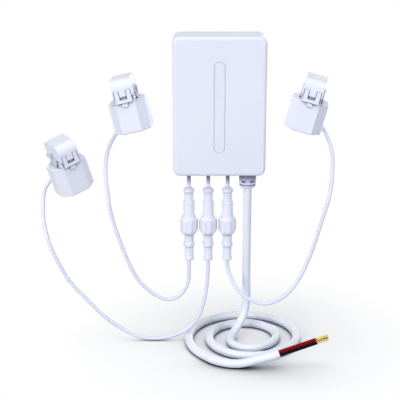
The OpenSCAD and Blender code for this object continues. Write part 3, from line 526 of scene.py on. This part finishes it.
# Bared end: two cores side by side, each with strands laid round its axis and one filler between
CORE_RISE = math.radians(20.6)
CORE_ROLL = math.radians(82)
CORE_R = 1.4
CORE_OFF = 1.45
CORE_LEN = 32
CORE_SUNK = 1.5
CORE_STEPS = 12
STRAND_LEN = 10
STRAND_SUNK = 2
STRAND_TURNS = 1.7
STRAND_STEPS = 60
STRAND_SIDES = 14
# Each bundle: its place across the cores, how many strands, and the radii of the lay and of a strand
STRANDS = [(CORE_OFF, 3, 0.8, 0.55), (0, 1, 0, 0.42), (-CORE_OFF, 3, 0.8, 0.55)]


# A point of the coil after t half turns, each wider than the last by the same amount
def coil_at(t):
    reach = COIL_R + COIL_GAIN * t
    angle = math.pi * (1 + t)
    return COIL_POLE + Vector((math.cos(angle), math.sin(angle), 0)) * reach


def core_frame(along):
    turn = Matrix.Rotation(math.pi / 2 - CORE_RISE, 4, "Y")
    spot = (TAIL_END + turn.to_3x3() @ Vector((0, 0, along))) * MM
    return Matrix.Translation(spot) @ turn @ Matrix.Rotation(CORE_ROLL, 4, "Z")


def cord_way():
    turns = [coil_at(COIL_FROM + (COIL_TO - COIL_FROM) * i / COIL_STEPS) for i in range(COIL_STEPS + 1)]
    head_in = (coil_at(COIL_FROM + COIL_AHEAD) - turns[0]).normalized()
    head_out = (turns[-1] - coil_at(COIL_TO - COIL_AHEAD)).normalized()
    core_dir = core_frame(0).to_3x3() @ Vector((0, 0, 1))
    gland = [(GLAND_X, LEAD_Y, z) for z in (GLAND_HOLD_Z, GLAND_END_Z)]
    before = turns[0] - head_in * CORD_STRAIGHT
    after = turns[-1] + head_out * CORD_STRAIGHT
    drop = route(gland + DROP_ROUTE + [before], DOWN, head_in, CORD_STEPS)
    bared = [TAIL_END - core_dir * CORD_STRAIGHT, TAIL_END]
    tail = route([after] + TAIL_ROUTE + bared, head_out, core_dir, CORD_STEPS)
    return [p * MM for p in drop + turns + tail]


# Node trees for what repeats: a group with named sizes, and steps that they share
def blank_tree(name, counts, sizes):
    tree = bpy.data.node_groups.new(name, "GeometryNodeTree")
    face = tree.interface
    made = {"Geometry": face.new_socket("Geometry", in_out="INPUT", socket_type="NodeSocketGeometry")}
    for count in counts:
        made[count] = face.new_socket(count, in_out="INPUT", socket_type="NodeSocketInt")
    for size in sizes:
        made[size] = face.new_socket(size, in_out="INPUT", socket_type="NodeSocketFloat")
    made["Finish"] = face.new_socket("Finish", in_out="INPUT", socket_type="NodeSocketMaterial")
    face.new_socket("Geometry", in_out="OUTPUT", socket_type="NodeSocketGeometry")
    return tree, {label: socket.identifier for label, socket in made.items()}


def vector_of(nodes, links, **parts):
    node = nodes.new("ShaderNodeCombineXYZ")
    for axis, value in parts.items():
        links.new(value, node.inputs[axis])
    return node.outputs["Vector"]


def swept(nodes, links, path, radius, sides, swell=None):
    ring = nodes.new("GeometryNodeCurvePrimitiveCircle")
    ring.inputs["Resolution"].default_value = sides
    links.new(radius, ring.inputs["Radius"])
    sweep = nodes.new("GeometryNodeCurveToMesh")
    sweep.inputs["Fill Caps"].default_value = True
    links.new(path, sweep.inputs["Curve"])
    links.new(ring.outputs["Curve"], sweep.inputs["Profile Curve"])
    if swell is not None:
        links.new(swell, sweep.inputs["Scale"])
    return sweep.outputs["Mesh"]


def set_out(nodes, links, points, shape, finish, turn=None):
    lay = nodes.new("GeometryNodeInstanceOnPoints")
    links.new(points, lay.inputs["Points"])
    links.new(shape, lay.inputs["Instance"])
    if turn is not None:
        links.new(turn, lay.inputs["Rotation"])
    real = nodes.new("GeometryNodeRealizeInstances")
    links.new(lay.outputs["Instances"], real.inputs["Geometry"])
    paint = nodes.new("GeometryNodeSetMaterial")
    links.new(real.outputs["Geometry"], paint.inputs["Geometry"])
    links.new(finish, paint.inputs["Material"])
    links.new(paint.outputs["Geometry"], nodes.new("NodeGroupOutput").inputs["Geometry"])


# A node tree's result as a plain mesh
def grown(name, tree, sockets, blank=None, **sizes):
    seed = bpy.data.objects.new(name, blank or bpy.data.meshes.new(name + "_seed"))
    scene.collection.objects.link(seed)
    modifier = seed.modifiers.new("grow", "NODES")
    modifier.node_group = tree
    for size, value in sizes.items():
        modifier[sockets[size.replace("_", " ")]] = value
    bpy.context.view_layer.update()
    graph = bpy.context.evaluated_depsgraph_get()
    mesh = bpy.data.meshes.new_from_object(seed.evaluated_get(graph), depsgraph=graph)
    bpy.data.objects.remove(seed)
    mesh.name = name
    return mesh


# Stranded conductor: strands laid round an axis
def strand_tree():
    tree, sockets = blank_tree("laid_strands", counts=("Strand Count",),
                               sizes=("Lay Radius", "Strand Radius", "Length", "Turns"))
    nodes, links = tree.nodes, tree.links
    given = nodes.new("NodeGroupInput").outputs
    spiral = nodes.new("GeometryNodeCurveSpiral")
    spiral.inputs["Resolution"].default_value = STRAND_STEPS
    spiral.inputs["Reverse"].default_value = True
    for label, size in (("Rotations", "Turns"), ("Start Radius", "Lay Radius"),
                        ("End Radius", "Lay Radius"), ("Height", "Length")):
        links.new(given[size], spiral.inputs[label])
    strand = swept(nodes, links, spiral.outputs["Curve"], given["Strand Radius"], STRAND_SIDES)
    points = nodes.new("GeometryNodePoints")
    links.new(given["Strand Count"], points.inputs["Count"])
    share = arith(nodes, links, "DIVIDE", 2 * math.pi, given["Strand Count"])
    index = nodes.new("GeometryNodeInputIndex").outputs["Index"]
    turn = vector_of(nodes, links, Z=arith(nodes, links, "MULTIPLY", index, share))
    set_out(nodes, links, points.outputs["Points"], strand, given["Finish"], turn)
    return tree, sockets


def make_mains_cord():
    way = cord_way()
    cord = place_piece(tube("mains_cord", way, CORD_R, sides=32, rim=0.1), "cord_jacket", "unit",
                       "mains_drop", "mains_coil", "mains_tail")
    heights = [-CORE_SUNK] + [CORE_LEN * i / CORE_STEPS for i in range(1, CORE_STEPS + 1)]
    for name, slot, side in (("red_core", "red_insulation", 1), ("black_core", "black_insulation", -1)):
        core_way = [core_frame(0) @ (Vector((0, side * CORE_OFF, z)) * MM) for z in heights]
        core = tube("insulated_" + name, core_way, CORE_R * MM, rim=0.12)
        place_piece(core, slot, "unit", name)
    tree, sockets = strand_tree()
    whole = bmesh.new()
    for off, count, lay, thickness in STRANDS:
        mesh = grown("bare_strands", tree, sockets, Strand_Count=count, Lay_Radius=lay * MM,
                     Strand_Radius=thickness * MM, Length=(STRAND_LEN + STRAND_SUNK) * MM,
                     Turns=STRAND_TURNS, Finish=FINISHES["copper"])
        mesh.transform(core_frame(CORE_LEN - STRAND_SUNK) @ Matrix.Translation((0, off * MM, 0)))
        whole.from_mesh(mesh)
        bpy.data.meshes.remove(mesh)
    strands = as_object(whole, "bare_strands")
    smooth(strands.data)
    place_piece(strands, "copper", "unit", "copper_strands")


make_leads()
make_mains_cord()

# Rigid pieces: the solid's own shape with its edges eased, so that they catch the light
SAME_SPOT = 2e-6
FLAT_ANGLE = math.radians(0.6)
EDGE_ANGLE = math.radians(32)
EDGE_STEPS = 2


def eased(node, edge):
    work = bmesh.new()
    work.from_mesh(frame["nodes"][node].data)
    bmesh.ops.remove_doubles(work, verts=work.verts, dist=SAME_SPOT)
    bmesh.ops.dissolve_limit(work, angle_limit=FLAT_ANGLE, verts=work.verts, edges=work.edges)
    piece = as_object(work, node + "_eased")
    smooth(piece.data)
    bevel = piece.modifiers.new("eased_edges", "BEVEL")
    bevel.width = edge * MM
    bevel.segments = EDGE_STEPS
    bevel.limit_method = "ANGLE"
    bevel.angle_limit = EDGE_ANGLE
    return place_piece(even_shading(piece), SLOT_OF[node], BODY_OF[node], node)


# Turned pieces: a side view with rounded corners, swept round an upright axis
CORNER_SHARE = 0.45
CORNER_STEPS = 4
ON_AXIS = 1e-6


def rounded(profile, radius, closed):
    soft = []
    for i, corner in enumerate(profile):
        if not closed and i in (0, len(profile) - 1):
            soft.append(corner)
            continue
        back = profile[i - 1] - corner
        on = profile[(i + 1) % len(profile)] - corner
        cut = min(radius, CORNER_SHARE * back.length, CORNER_SHARE * on.length)
        start = corner + back.normalized() * cut
        end = corner + on.normalized() * cut
        for t in (k / CORNER_STEPS for k in range(CORNER_STEPS + 1)):
            soft.append(start * (1 - t) ** 2 + corner * 2 * t * (1 - t) + end * t * t)
    return soft


def turned(name, profile, spot, radius, closed=False, sides=64):
    work = bmesh.new()
    rings = []
    for reach, height in rounded([Vector(p) for p in profile], radius, closed):
        middle = Vector(spot) + Vector((0, 0, height))
        if reach < ON_AXIS:
            rings.append([work.verts.new(middle * MM)] * sides)
        else:
            rings.append([work.verts.new((middle + Vector((math.cos(a), math.sin(a), 0)) * reach) * MM)
                          for a in (2 * math.pi * k / sides for k in range(sides))])
    following = rings[1:] + rings[:1] if closed else rings[1:]
    for low, high in zip(rings, following):
        for k in range(sides):
            m = (k + 1) % sides
            corners = list(dict.fromkeys((low[k], low[m], high[m], high[k])))
            if len(corners) > 2:
                work.faces.new(corners).smooth = True
    bmesh.ops.recalc_face_normals(work, faces=work.faces)
    return even_shading(as_object(work, name))


# Connectors, counted down from the top of their collars
CONNECTOR_TOP = -69.8
SOCKET_SIDE = [
    (0, -4.35), (1.65, -4.35), (1.65, 0), (2.3, 0), (4.5, -1.6), (4.7, -2), (4.7, -3.4), (4, -4.3),
    (3.7, -4.3), (3.7, -11.3), (3.9, -11.3), (4.7, -12.1), (4.7, -24.7), (5.12, -25.3), (5.12, -34.7),
    (3.6, -34.7), (3.6, -27.2), (0, -27.2),
]
PLUG_SIDE = [
    (0, -28.2), (2.9, -28.2), (3.4, -28.7), (3.4, -36.2), (4.7, -36.2), (4.7, -37.8), (4, -37.8),
    (4, -48.2), (4.3, -48.2), (4.7, -48.6), (4.7, -51.1), (4.3, -51.5), (3.7, -51.5), (3.7, -61),
    (4, -61.4), (4, -63.6), (3.2, -64.4), (1.65, -64.4), (1.65, -59.4), (0, -59.4),
]
NUT_SIDE = [
    (5.2, -25.4), (5.6, -25.4), (6.8, -27.2), (6.8, -38.6), (5.6, -40.4), (4.2, -40.4), (4.2, -38),
    (5.2, -38),
]
# Side view, corner radius, and whether the side view closes on itself
CONNECTOR_PARTS = {
    "socket": (SOCKET_SIDE, 0.45, False), "plug": (PLUG_SIDE, 0.4, False), "nut": (NUT_SIDE, 0.6, True),
}
NUT_MIDDLE = -32.9
NUT_R = 7.3
RIB_COUNT = 10
RIB_R = 0.75
RIB_LEN = 10.6
RIB_STEPS = 33
RIB_SIDES = 20
RIB_FULL = 1.02
RIB_BLUNT = 14


# Grip of the nut: bars set round it, full along their length and rounded off at both ends
def rib_tree():
    tree, sockets = blank_tree("grip_ribs", counts=("Rib Count",),
                               sizes=("Ring Radius", "Rib Radius", "Length"))
    nodes, links = tree.nodes, tree.links
    given = nodes.new("NodeGroupInput").outputs
    half = arith(nodes, links, "DIVIDE", given["Length"], 2)
    drop = arith(nodes, links, "MULTIPLY", half, -1)
    bar = nodes.new("GeometryNodeCurvePrimitiveLine")
    for end, height in (("Start", drop), ("End", half)):
        links.new(vector_of(nodes, links, Z=height), bar.inputs[end])
    fine = nodes.new("GeometryNodeResampleCurve")
    fine.inputs["Count"].default_value = RIB_STEPS
    links.new(bar.outputs["Curve"], fine.inputs["Curve"])
    along = nodes.new("GeometryNodeSplineParameter").outputs["Factor"]
    far = arith(nodes, links, "ABSOLUTE", mapped(nodes, links, along, (0, 1), (-1, 1)))
    swell = arith(nodes, links, "SUBTRACT", RIB_FULL, arith(nodes, links, "POWER", far, RIB_BLUNT))
    rib = swept(nodes, links, fine.outputs["Curve"], given["Rib Radius"], RIB_SIDES, swell)
    posts = nodes.new("GeometryNodeMeshCircle")
    links.new(given["Rib Count"], posts.inputs["Vertices"])
    links.new(given["Ring Radius"], posts.inputs["Radius"])
    set_out(nodes, links, posts.outputs["Mesh"], rib, given["Finish"])
    return tree, sockets


def make_connectors():
    tree, sockets = rib_tree()
    for n in range(3):
        i = n + 1
        spot = (LEAD_X[n], LEAD_Y, CONNECTOR_TOP)
        for part, (side, radius, closed) in CONNECTOR_PARTS.items():
            node = f"{part}_{i}"
            piece = turned(f"{node}_turned", side, spot, radius, closed)
            place_piece(piece, SLOT_OF[node], BODY_OF[node], node)
        mesh = grown(f"nut_{i}_ribs", tree, sockets, Rib_Count=RIB_COUNT, Ring_Radius=(NUT_R - RIB_R) * MM,
                     Rib_Radius=RIB_R * MM, Length=RIB_LEN * MM, Finish=FINISHES["connector_plastic"])
        middle = Vector((LEAD_X[n], LEAD_Y, CONNECTOR_TOP + NUT_MIDDLE))
        mesh.transform(Matrix.Translation(middle * MM))
        smooth(mesh)
        place_piece(bpy.data.objects.new(f"nut_{i}_ribs", mesh), "connector_plastic", f"nut_{i}")


# Short leads between the housing and the sockets
PIGTAIL_Z = (-39.5, -50, -57, -60, -64, -68, -72, -74.1)


def make_pigtails():
    whole = bmesh.new()
    for x in LEAD_X:
        lead = tube("pigtail", [Vector((x, LEAD_Y, z)) * MM for z in PIGTAIL_Z], LEAD_R)
        whole.from_mesh(lead.data)
        bpy.data.objects.remove(lead)
    place_piece(as_object(whole, "short_leads"), "cord_jacket", "unit", "pigtails")


# Cover screws: one turned blank, its cross recess cut, set out on the four corners of the rear cover
SCREW_SIDE = [(0, 0), (2.7, 0), (2.7, -1.6), (1, -1.6), (1, -12.2), (0, -12.7)]
SCREW_SOFT = 0.3
SCREW_SIDES = 40
SCREW_SHARP = math.radians(35)
SCREW_X, SCREW_Z = 30.5, 50
SCREW_SUNK = 0.3
RECESS_LEN, RECESS_W, RECESS_DEEP = 3.2, 0.75, 0.9


def screw_tree():
    tree, sockets = blank_tree("set_screws", counts=(), sizes=(
        "Span Across", "Span Up", "Recess Length", "Recess Width", "Recess Depth"))
    nodes, links = tree.nodes, tree.links
    given = nodes.new("NodeGroupInput").outputs
    both = arith(nodes, links, "MULTIPLY", given["Recess Depth"], 2)
    cut = nodes.new("GeometryNodeMeshBoolean")
    cut.operation = "DIFFERENCE"
    links.new(given["Geometry"], cut.inputs["Mesh 1"])
    for across, up in (("Recess Length", "Recess Width"), ("Recess Width", "Recess Length")):
        bar = nodes.new("GeometryNodeMeshCube")
        links.new(vector_of(nodes, links, X=given[across], Y=given[up], Z=both), bar.inputs["Size"])
        links.new(bar.outputs["Mesh"], cut.inputs["Mesh 2"])
    corners = nodes.new("GeometryNodeMeshGrid")
    for axis, span in (("X", "Span Across"), ("Y", "Span Up")):
        corners.inputs[f"Vertices {axis}"].default_value = 2
        links.new(given[span], corners.inputs[f"Size {axis}"])
    set_out(nodes, links, corners.outputs["Mesh"], cut.outputs["Mesh"], given["Finish"])
    return tree, sockets


def make_cover_screws():
    tree, sockets = screw_tree()
    blank = turned("screw_blank", SCREW_SIDE, (0, 0, 0), SCREW_SOFT, sides=SCREW_SIDES)
    mesh = grown("cover_screws_set", tree, sockets, blank.data, Span_Across=2 * SCREW_X * MM,
                 Span_Up=2 * SCREW_Z * MM, Recess_Length=RECESS_LEN * MM, Recess_Width=RECESS_W * MM,
                 Recess_Depth=RECESS_DEEP * MM, Finish=FINISHES["steel"])
    bpy.data.objects.remove(blank)
    mesh.transform(Matrix.Translation((0, -SCREW_SUNK * MM, 0)) @ Matrix.Rotation(-math.pi / 2, 4, "X"))
    smooth(mesh)
    mesh.set_sharp_from_angle(angle=SCREW_SHARP)
    place_piece(bpy.data.objects.new("cover_screws_set", mesh), "steel", "unit", "cover_screws")


make_connectors()
make_pigtails()
make_cover_screws()

# Width of the eased edges, in millimetres
EASED = {"front_cover": 0.15, "rear_cover": 0.3, "light_bar": 0.08, "mains_gland": 0.25,
         "lead_grommets": 0.2, "ct_grommets": 0.2}
for i in (1, 2, 3):
    EASED.update({f"ct_{i}_body": 0.4, f"ct_{i}_jaw": 0.35, f"ct_{i}_latch": 0.25})
for node, edge in EASED.items():
    eased(node, edge)

# Solids that stay as they are take their finish
for node, solid in frame["nodes"].items():
    for holder in solid.material_slots:
        holder.material = FINISHES[SLOT_OF[node]]


# Floor, light and surroundings
def any_view(nodes, links):
    path = nodes.new("ShaderNodeLightPath")
    seen = path.outputs["Is Camera Ray"]
    for name in ("Is Glossy Ray", "Is Transmission Ray"):
        seen = arith(nodes, links, "MAXIMUM", seen, path.outputs[name])
    return seen


def one_or_other(nodes, links, share, first, second):
    node = nodes.new("ShaderNodeMixShader")
    for socket, value in zip(node.inputs, (share, first, second)):
        links.new(value, socket)
    return node.outputs["Shader"]


# Even sky: its soft light, and the white that is seen behind the object, each with its strength
SKY_LIGHT = ((0.87, 0.92, 1.0, 1), 0.30)
SKY_WHITE = ((1, 1, 1, 1), 1)


def set_surroundings():
    world = bpy.data.worlds.new("studio")
    world.use_nodes = True
    scene.world = world
    nodes, links = world.node_tree.nodes, world.node_tree.links
    nodes.clear()
    skies = []
    for colour, strength in (SKY_LIGHT, SKY_WHITE):
        sky = nodes.new("ShaderNodeBackground")
        sky.inputs["Color"].default_value = colour
        sky.inputs["Strength"].default_value = strength
        skies.append(sky.outputs["Background"])
    both = one_or_other(nodes, links, any_view(nodes, links), *skies)
    links.new(both, nodes.new("ShaderNodeOutputWorld").inputs["Surface"])


# White paper: a painted contact shadow, a wider painted shadow, white further out, and its bounced tone
FLOOR_HALF = 12
FLOOR_SAMPLES = 12
CONTACT_REACH = 0.007
CONTACT_SPAN = (0.25, 0.72)
CONTACT_DARK = (0.08, 0.085, 0.18)
# The wider painted shadow is strong before the coil, under the lifted tail, and faint inside the coil
WIDE_SHADOW_REACH = 0.045
WIDE_SHADOW_DARK = (0.0, 0.0, 0.02, 1)
WIDE_SHADOW_Y = (-0.052, -0.034)
WIDE_SHADOW_POWER = (2.1, 0.3)
BOUNCE_TONE = (0.34, 0.35, 0.42, 1)
WHITE_FROM = (0.05, 0.17)
WHITE_SHARE = (0.5, 1)


def set_floor():
    paper = bpy.data.materials.new("white_paper")
    paper.use_nodes = True
    nodes, links = paper.node_tree.nodes, paper.node_tree.links
    nodes.clear()
    seen = any_view(nodes, links)
    place = nodes.new("ShaderNodeTexCoord").outputs["Object"]
    reach = nodes.new("ShaderNodeVectorMath")
    reach.operation = "LENGTH"
    links.new(place, reach.inputs[0])
    apart = nodes.new("ShaderNodeSeparateXYZ")
    links.new(place, apart.inputs["Vector"])
    near = open_air(nodes, links, CONTACT_REACH, FLOOR_SAMPLES)
    contact = ramp(nodes, links, near, CONTACT_SPAN, CONTACT_DARK, (1, 1, 1))
    # Wider painted shadow, its strength set by place before or inside the coil
    wide = open_air(nodes, links, WIDE_SHADOW_REACH, FLOOR_SAMPLES)
    power = mapped(nodes, links, apart.outputs["Y"], WIDE_SHADOW_Y, WIDE_SHADOW_POWER)
    wide_shadow = arith(nodes, links, "POWER", wide, power)
    shadow = blended(nodes, links, wide_shadow, WIDE_SHADOW_DARK, contact)
    matt = nodes.new("ShaderNodeBsdfDiffuse")
    links.new(blended(nodes, links, seen, BOUNCE_TONE, shadow), matt.inputs["Color"])
    glow = nodes.new("ShaderNodeEmission")
    glow.inputs["Strength"].default_value = 1.0
    links.new(shadow, glow.inputs["Color"])
    fade = mapped(nodes, links, reach.outputs["Value"], WHITE_FROM, WHITE_SHARE, soft=True)
    far = arith(nodes, links, "MULTIPLY", seen, fade)
    surface = one_or_other(nodes, links, far, matt.outputs["BSDF"], glow.outputs["Emission"])
    links.new(surface, nodes.new("ShaderNodeOutputMaterial").inputs["Surface"])
    data = bpy.data.meshes.new("floor")
    corners = [(x * FLOOR_HALF, y * FLOOR_HALF, 0) for x, y in ((-1, -1), (1, -1), (1, 1), (-1, 1))]
    data.from_pydata(corners, [], [(0, 1, 2, 3)])
    data.materials.append(paper)
    floor = bpy.data.objects.new("floor", data)
    floor.location = (COIL_POLE.x * MM, COIL_POLE.y * MM, FLOOR_Z)
    scene.collection.objects.link(floor)


# Softboxes: place, aim, size, strength and colour
SOFTBOXES = {
    "top_softbox": ((-0.1, -0.45, 2.0), (0, -0.03, -0.15), (1.2, 1.2), 16.8, (0.92, 0.975, 1.0)),
    "front_softbox": ((-0.94, -1.2, 0.30), (0, 0, -0.05), (0.9, 0.8), 15.6, (0.99, 0.99, 1.0)),
    "right_fill": ((1.11, -0.93, 0.25), (0, 0, -0.05), (0.8, 0.8), 6.4, (0.87, 0.915, 1.0)),
    "rear_fill": ((0.5, 1.5, 0.02), (0, 0, -0.04), (1.2, 0.4), 7.0, (0.95, 0.97, 1.0)),
}


def add_softbox(name, spot, aim, size, energy, colour):
    lamp = bpy.data.lights.new(name, "AREA")
    lamp.shape = "RECTANGLE"
    lamp.size, lamp.size_y = size
    lamp.energy = energy
    lamp.color = colour
    box = bpy.data.objects.new(name, lamp)
    box.location = spot
    box.rotation_euler = (Vector(aim) - Vector(spot)).to_track_quat("-Z", "Y").to_euler()
    scene.collection.objects.link(box)


set_surroundings()
set_floor()
for name, values in SOFTBOXES.items():
    add_softbox(name, *values)
